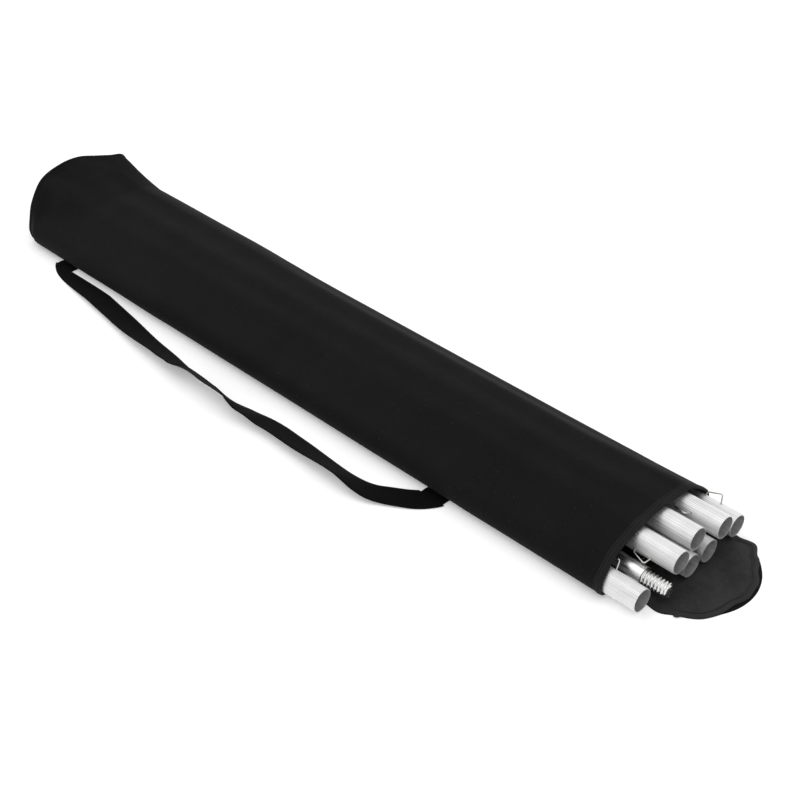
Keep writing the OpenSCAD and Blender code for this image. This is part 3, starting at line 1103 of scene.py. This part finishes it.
@dataclass
class Strap:
    """The webbing shoulder strap, which lies on the floor beside the bag and tips up on its inner edge."""

    width: float = 38 * MM
    thickness: float = 1.9 * MM
    samples: int = 260
    # Centre line on the floor in millimetres, far end to near end, as x and y.
    route: tuple[tuple[float, float], ...] = (
        (-500, -98), (-484, -112), (-459, -122), (-408, -131), (-364, -137), (-289, -148),
        (-219, -159), (-161, -165), (-104, -172), (-54, -173), (7, -175), (76, -168), (127, -169),
        (227, -173), (268, -169), (296, -154), (322, -136), (337, -118), (346, -98),
    )
    # How far the strap tips up, by place along the bag, in degrees.
    tilt: tuple[tuple[float, float], ...] = (
        (-0.46, 0), (-0.36, 9), (-0.29, 10), (-0.16, 27), (-0.13, 32), (-0.08, 60), (-0.02, 58),
        (0.03, 30), (0.07, 20), (0.13, 21), (0.22, 31), (0.30, 3), (0.33, 0),
    )

    def section(self) -> np.ndarray:
        """The webbing's section, as place across it and height, with slightly fuller edges."""
        across = np.linspace(-1, 1, 13)
        fuller = 1 + 0.15 * smooth((np.abs(across) - 0.8) / 0.15)
        rounded = np.where(np.abs(across) > 0.99, 0.55, fuller)
        top = np.column_stack([across * self.width / 2, rounded * self.thickness / 2])
        bottom = top[::-1] * (1, -1)
        return np.vstack([top, bottom])

    def build(self) -> None:
        """Makes the strap and its two sewn ends."""
        webbing = WEBBING.material()
        self.build_webbing(webbing)
        for end in ("near", "far"):
            self.build_end(end, webbing)

    def build_webbing(self, webbing: bpy.types.Material) -> None:
        """Sweeps the webbing along its route and cuts it off at the bag's edge."""
        line = evenly(catmull_rom(np.array(self.route) * MM, 12, closed=False), self.samples, closed=False)
        ahead = unit(np.gradient(line, axis=0))
        left = np.column_stack([-ahead[:, 1], ahead[:, 0], np.zeros(len(line))])
        tip = np.radians(through_keys(line[:, 0], self.tilt))[:, None]
        up = np.array([0.0, 0.0, 1.0])
        outwards = -left * np.cos(tip) + up * np.sin(tip)
        face = left * np.sin(tip) + up * np.cos(tip)
        height = self.width / 2 * np.sin(tip) + self.thickness * 0.6
        centre = np.column_stack([line, height])
        rings = centre[:, None] + self.section()[None, :, :1] * outwards[:, None]
        rings = rings + self.section()[None, :, 1:] * face[:, None]
        strap = loft("strap_webbing", rings, caps=True)
        cut_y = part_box("shoulder_strap")[1].y
        with editing(strap):
            bpy.ops.mesh.bisect(plane_co=(0, cut_y, 0), plane_no=(0, 1, 0), use_fill=True, clear_outer=True)
        face_outwards(strap)
        dress(strap, webbing, 50)
        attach(strap, "strap")
        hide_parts("shoulder_strap")
        log.info("strap_webbing: %.3f m of webbing", np.linalg.norm(np.diff(line, axis=0), axis=1).sum())

    def build_end(self, end: str, webbing: bpy.types.Material) -> None:
        """Makes one sewn end: doubled webbing under the bag's edge.

        Args:
            end: "near" or "far".
            webbing: The webbing's material.
        """
        low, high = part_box(f"strap_anchor_{end}")
        size = high - low
        front = low.y - 0.6 * MM
        bpy.ops.object.select_all(action="DESELECT")
        middle = ((low.x + high.x) / 2, (front + high.y) / 2, size.z / 2)
        bpy.ops.mesh.primitive_cube_add(size=1, location=middle)
        patch = bpy.context.object
        patch.name = f"strap_end_{end}"
        patch.scale = (size.x, high.y - front, size.z)
        bpy.ops.object.transform_apply(location=True, rotation=True, scale=True)
        with editing(patch):
            bpy.ops.mesh.subdivide(number_cuts=5)
            bpy.ops.mesh.select_all(action="SELECT")
            bpy.ops.uv.cube_project(cube_size=1)
        apply_modifier(patch, "BEVEL", width=0.5 * MM, segments=3, limit_method="ANGLE")
        dress(patch, webbing)
        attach(patch, "bag")
        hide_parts(f"strap_anchor_{end}")
        log.info("%s", patch.name)


# -------------------------------------------------------------------------------- poles and clips


@dataclass
class Poles:
    """The seven fluted poles, which keep their CAD shape, and the wire clips on four of them."""

    count: int = 7
    wire: float = 2 * MM
    span: float = 24 * MM
    high: float = 12.5 * MM
    low: float = 5.5 * MM
    lean: float = 2 * MM
    far_lean: float = 1 * MM
    wall: float = 1.1 * MM
    foot_clearance: float = 0.35 * MM
    bend_r: float = 2.6 * MM
    # Pole, distance of the near foot from the pole's open end, and angle from straight up.
    clips: tuple[tuple[int, float, float], ...] = (
        (1, 48 * MM, 42),
        (2, 32 * MM, -100),
        (6, 42 * MM, -65),
        (7, 30 * MM, 20),
    )

    def build(self) -> None:
        """Dresses the poles and bends the clips."""
        aluminium = ALUMINIUM.material()
        for n in range(1, self.count + 1):
            keep_cad(f"pole_{n}", aluminium)
        wire = SPRING_WIRE.material()
        for n, inset, degrees in self.clips:
            self.build_clip(n, inset, math.radians(degrees), wire)

    def bent(self, corners: list[Vector]) -> list[Vector]:
        """Rounds the inner corners of a wire's path.

        Args:
            corners: The path's points.

        Returns:
            The path with each inner corner as an arc of several points.
        """
        path = [corners[0]]
        for before, corner, after in zip(corners, corners[1:], corners[2:]):
            into, out = (before - corner).normalized(), (after - corner).normalized()
            half = into.angle(out) / 2
            back = self.bend_r / math.tan(half)
            middle = corner + (into + out).normalized() * (self.bend_r / math.sin(half))
            spoke = corner + into * back - middle
            axis = spoke.cross(corner + out * back - middle)
            for k in range(9):
                path.append(middle + Matrix.Rotation((math.pi - 2 * half) * k / 8, 3, axis) @ spoke)
        return [*path, corners[-1]]

    def build_clip(self, n: int, inset: float, angle: float, wire: bpy.types.Material) -> None:
        """Bends one clip.

        Args:
            n: The pole's number.
            inset: Distance of the clip's near foot from the pole's open end.
            angle: Angle from straight up, turning towards +Y.
            wire: The wire's material.
        """
        low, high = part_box(f"pole_{n}")
        r = (high.z - low.z) / 2
        # Each foot ends inside the pole's wall, a little short of the bore.
        foot = r - self.wall + self.foot_clearance
        corners = [
            Vector((0, 0, foot)),
            Vector((-self.lean, 0, r + self.high)),
            Vector((self.far_lean - self.span, 0, r + self.low)),
            Vector((-self.span, 0, foot)),
        ]
        place = Matrix.Translation((high.x - inset, (low.y + high.y) / 2, (low.z + high.z) / 2))
        turned = place @ Matrix.Rotation(-angle, 4, "X")
        curve = bpy.data.curves.new(f"clip_wire_{n}", "CURVE")
        curve.dimensions = "3D"
        curve.bevel_depth = self.wire / 2
        curve.bevel_resolution = 4
        curve.use_fill_caps = True
        points = [turned @ p for p in self.bent(corners)]
        spline = curve.splines.new("POLY")
        spline.points.add(len(points) - 1)
        for target, p in zip(spline.points, points):
            target.co = (*p, 1)
        clip = bpy.data.objects.new(f"clip_wire_{n}", curve)
        bpy.context.scene.collection.objects.link(clip)
        only(clip)
        bpy.ops.object.convert(target="MESH")
        clip = bpy.context.object
        merge_doubles(clip)
        face_outwards(clip)
        dress(clip, wire)
        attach(clip, f"clip_{n}")
        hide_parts(f"wire_clip_{n}")
        log.info("%s", clip.name)


def keep_cad(name: str, material: bpy.types.Material) -> None:
    """Gives a CAD node that keeps its shape a new material."""
    node = bpy.data.objects[name]
    node.data.materials.clear()
    node.data.materials.append(material)
    log.info("%s keeps its CAD shape", name)


# -------------------------------------------------------------------------------- the jack


@dataclass
class Jack:
    """The jack: a chromed tube, a plated nut in its mouth, and a coarse right-hand screw in a nylon bush."""

    pitch: float = 5 * MM
    thread_depth: float = 2 * MM
    screw_length: float = 230 * MM
    journal_r: float = 4.5 * MM
    head_length: float = 3 * MM
    chamfer: float = 0.5 * MM
    overlap: float = 0.5 * MM
    tip: float = 2.4 * MM
    taper: float = 0.22
    steps: int = 40
    # One turn of the thread, as place along the pitch and height from root to crest, each from 0 to 1.
    tooth: tuple[tuple[float, float], ...] = (
        (0, 0), (0.2, 0), (0.27, 0.08), (0.45, 0.86), (0.52, 1), (0.68, 1), (0.75, 0.86),
        (0.93, 0.08), (1, 0),
    )

    def build(self) -> None:
        """Dresses the tube, nut and bush, and turns the screw."""
        keep_cad("jack_tube", CHROME.material())
        keep_cad("jack_nut", PLATED.material())
        keep_cad("jack_guide_bush", NYLON.material())
        self.build_screw()

    def revolve(
        self, name: str, profile: list[tuple[float, float]], rise: float, turns: int
    ) -> bpy.types.Object:
        """Extrudes a line point by point and turns it about X.

        Args:
            name: The object's name.
            profile: The line, as place along X and distance from the axis.
            rise: How far it moves along X in one turn.
            turns: Number of turns.

        Returns:
            The turned object, on the X axis.
        """
        bpy.ops.object.select_all(action="DESELECT")
        bpy.ops.mesh.primitive_plane_add(size=MM)
        obj = bpy.context.object
        obj.name = name
        with editing(obj):
            bpy.ops.mesh.merge(type="CENTER")
            bpy.ops.transform.translate(value=(profile[0][0], 0, profile[0][1]))
            for (x, r), (next_x, next_r) in zip(profile, profile[1:]):
                step = (next_x - x, 0, next_r - r)
                bpy.ops.mesh.extrude_region_move(TRANSFORM_OT_translate={"value": step})
        apply_modifier(
            obj,
            "SCREW",
            axis="X",
            angle=2 * math.pi,
            screw_offset=rise,
            iterations=turns,
            steps=self.steps,
            render_steps=self.steps,
            use_merge_vertices=True,
            merge_threshold=1e-5,
        )
        return obj

    def build_screw(self) -> None:
        """Makes the screw: a rolled thread with a tapered tip, and a journal with a head at its inner end."""
        low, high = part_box("jack_screw")
        crest_r = (high.z - low.z) / 2
        root_r = crest_r - self.thread_depth
        start_x = high.x - self.screw_length
        p = self.pitch
        profile = [(x * p - p, root_r + rise * self.thread_depth) for x, rise in self.tooth]
        thread = self.revolve("jack_thread", profile, p, int(self.screw_length / p) + 3)
        merge_doubles(thread, 1e-5)
        points = np.array([v.co for v in thread.data.vertices])
        taper = smooth((points[:, 0] - (self.screw_length - self.tip)) / self.tip) * self.taper
        points[:, 1:] *= (1 - taper)[:, None]
        thread.data.vertices.foreach_set("co", points.ravel())
        for x, way in ((0, -1), (self.screw_length, 1)):
            with editing(thread):
                bpy.ops.mesh.bisect(plane_co=(x, 0, 0), plane_no=(way, 0, 0), use_fill=True, clear_outer=True)
        face_outwards(thread)
        journal_end = low.x + self.head_length - start_x
        shaft = [
            (low.x - start_x, 0),
            (low.x - start_x, root_r - self.chamfer),
            (low.x - start_x + self.chamfer, root_r),
            (journal_end, root_r),
            (journal_end, self.journal_r),
            (self.overlap, self.journal_r),
            (self.overlap, 0),
        ]
        journal = self.revolve("jack_journal", shaft, 0, 1)
        merge_doubles(journal, 1e-5)
        face_outwards(journal)
        only(thread)
        journal.select_set(True)
        bpy.ops.object.join()
        thread.location = (start_x, (low.y + high.y) / 2, (low.z + high.z) / 2)
        bpy.ops.object.transform_apply(location=True, rotation=True, scale=True)
        dress(thread, ZINC.material(), 50)
        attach(thread, "jack_screw")
        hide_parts("jack_screw")
        log.info("jack_thread: right-hand, %.1f mm pitch", p / MM)


# -------------------------------------------------------------------------------- the studio


@dataclass
class Studio:
    """A pale floor, soft lights and the camera."""

    azimuth: float = 45
    elevation: float = 35.9
    lens: float = 67.8
    distance: float = 2.126
    aim: tuple[float, float, float] = (0.1532, 0.0068, 0.0003)
    sky: float = 0.95
    floor_size: float = 60
    floor_glow: float = 0.22
    # Place, size and power of each softbox, all aimed at the middle of the bag.
    softboxes: tuple[tuple[tuple[float, float, float], float, float], ...] = (
        ((-0.6, -0.6, 2.6), 2.4, 13),
        ((1.8, -2.2, 1.6), 1.6, 5),
        ((0.3, 2.4, 1.5), 1.8, 5),
    )

    def build(self) -> None:
        """Sets up the studio."""
        bpy.ops.object.select_all(action="DESELECT")
        bpy.ops.mesh.primitive_plane_add(size=self.floor_size)
        floor = bpy.context.object
        floor.name = "floor"
        material, tree = empty_material("pale_floor")
        paint = {"Base Color": linear("#f0f0f0"), "Roughness": 0.9, "Specular IOR Level": 0.1}
        surface(tree, {**paint, "Emission Color": (1, 1, 1, 1), "Emission Strength": self.floor_glow})
        floor.data.materials.append(material)

        world = bpy.data.worlds.new("soft_white")
        world.use_nodes = True
        background = world.node_tree.nodes["Background"].inputs
        background["Color"].default_value = (1, 1, 1, 1)
        background["Strength"].default_value = self.sky
        bpy.context.scene.world = world
        bpy.context.scene.view_settings.view_transform = "Standard"
        for place, size, power in self.softboxes:
            light = bpy.data.lights.new("softbox", "AREA")
            light.size, light.energy = size, power
            lamp = bpy.data.objects.new("softbox", light)
            lamp.location = place
            lamp.rotation_euler = (-Vector(place)).to_track_quat("-Z", "Y").to_euler()
            bpy.context.scene.collection.objects.link(lamp)

        a, e = math.radians(self.azimuth), math.radians(self.elevation)
        back = Vector((math.sin(a) * math.cos(e), -math.cos(a) * math.cos(e), math.sin(e)))
        camera = bpy.data.objects.new("camera", bpy.data.cameras.new("camera"))
        camera.data.lens = self.lens
        camera.location = Vector(self.aim) + back * self.distance
        camera.rotation_euler = (-back).to_track_quat("-Z", "Y").to_euler()
        bpy.context.scene.collection.objects.link(camera)
        bpy.context.scene.camera = camera
        log.info("studio: floor, %d softboxes and camera", len(self.softboxes))


def corners(box: tuple[Vector, Vector]) -> list[list[float]]:
    """A box as two plain lists."""
    return [list(box[0]), list(box[1])]


def main() -> None:
    """Builds the studio and every sub-assembly."""
    logging.basicConfig(level=logging.INFO, format="%(message)s")
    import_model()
    Studio().build()
    for assembly in (Bag(), Flap(), Strap(), Poles(), Jack()):
        assembly.build()


if __name__ == "__main__":
    main()
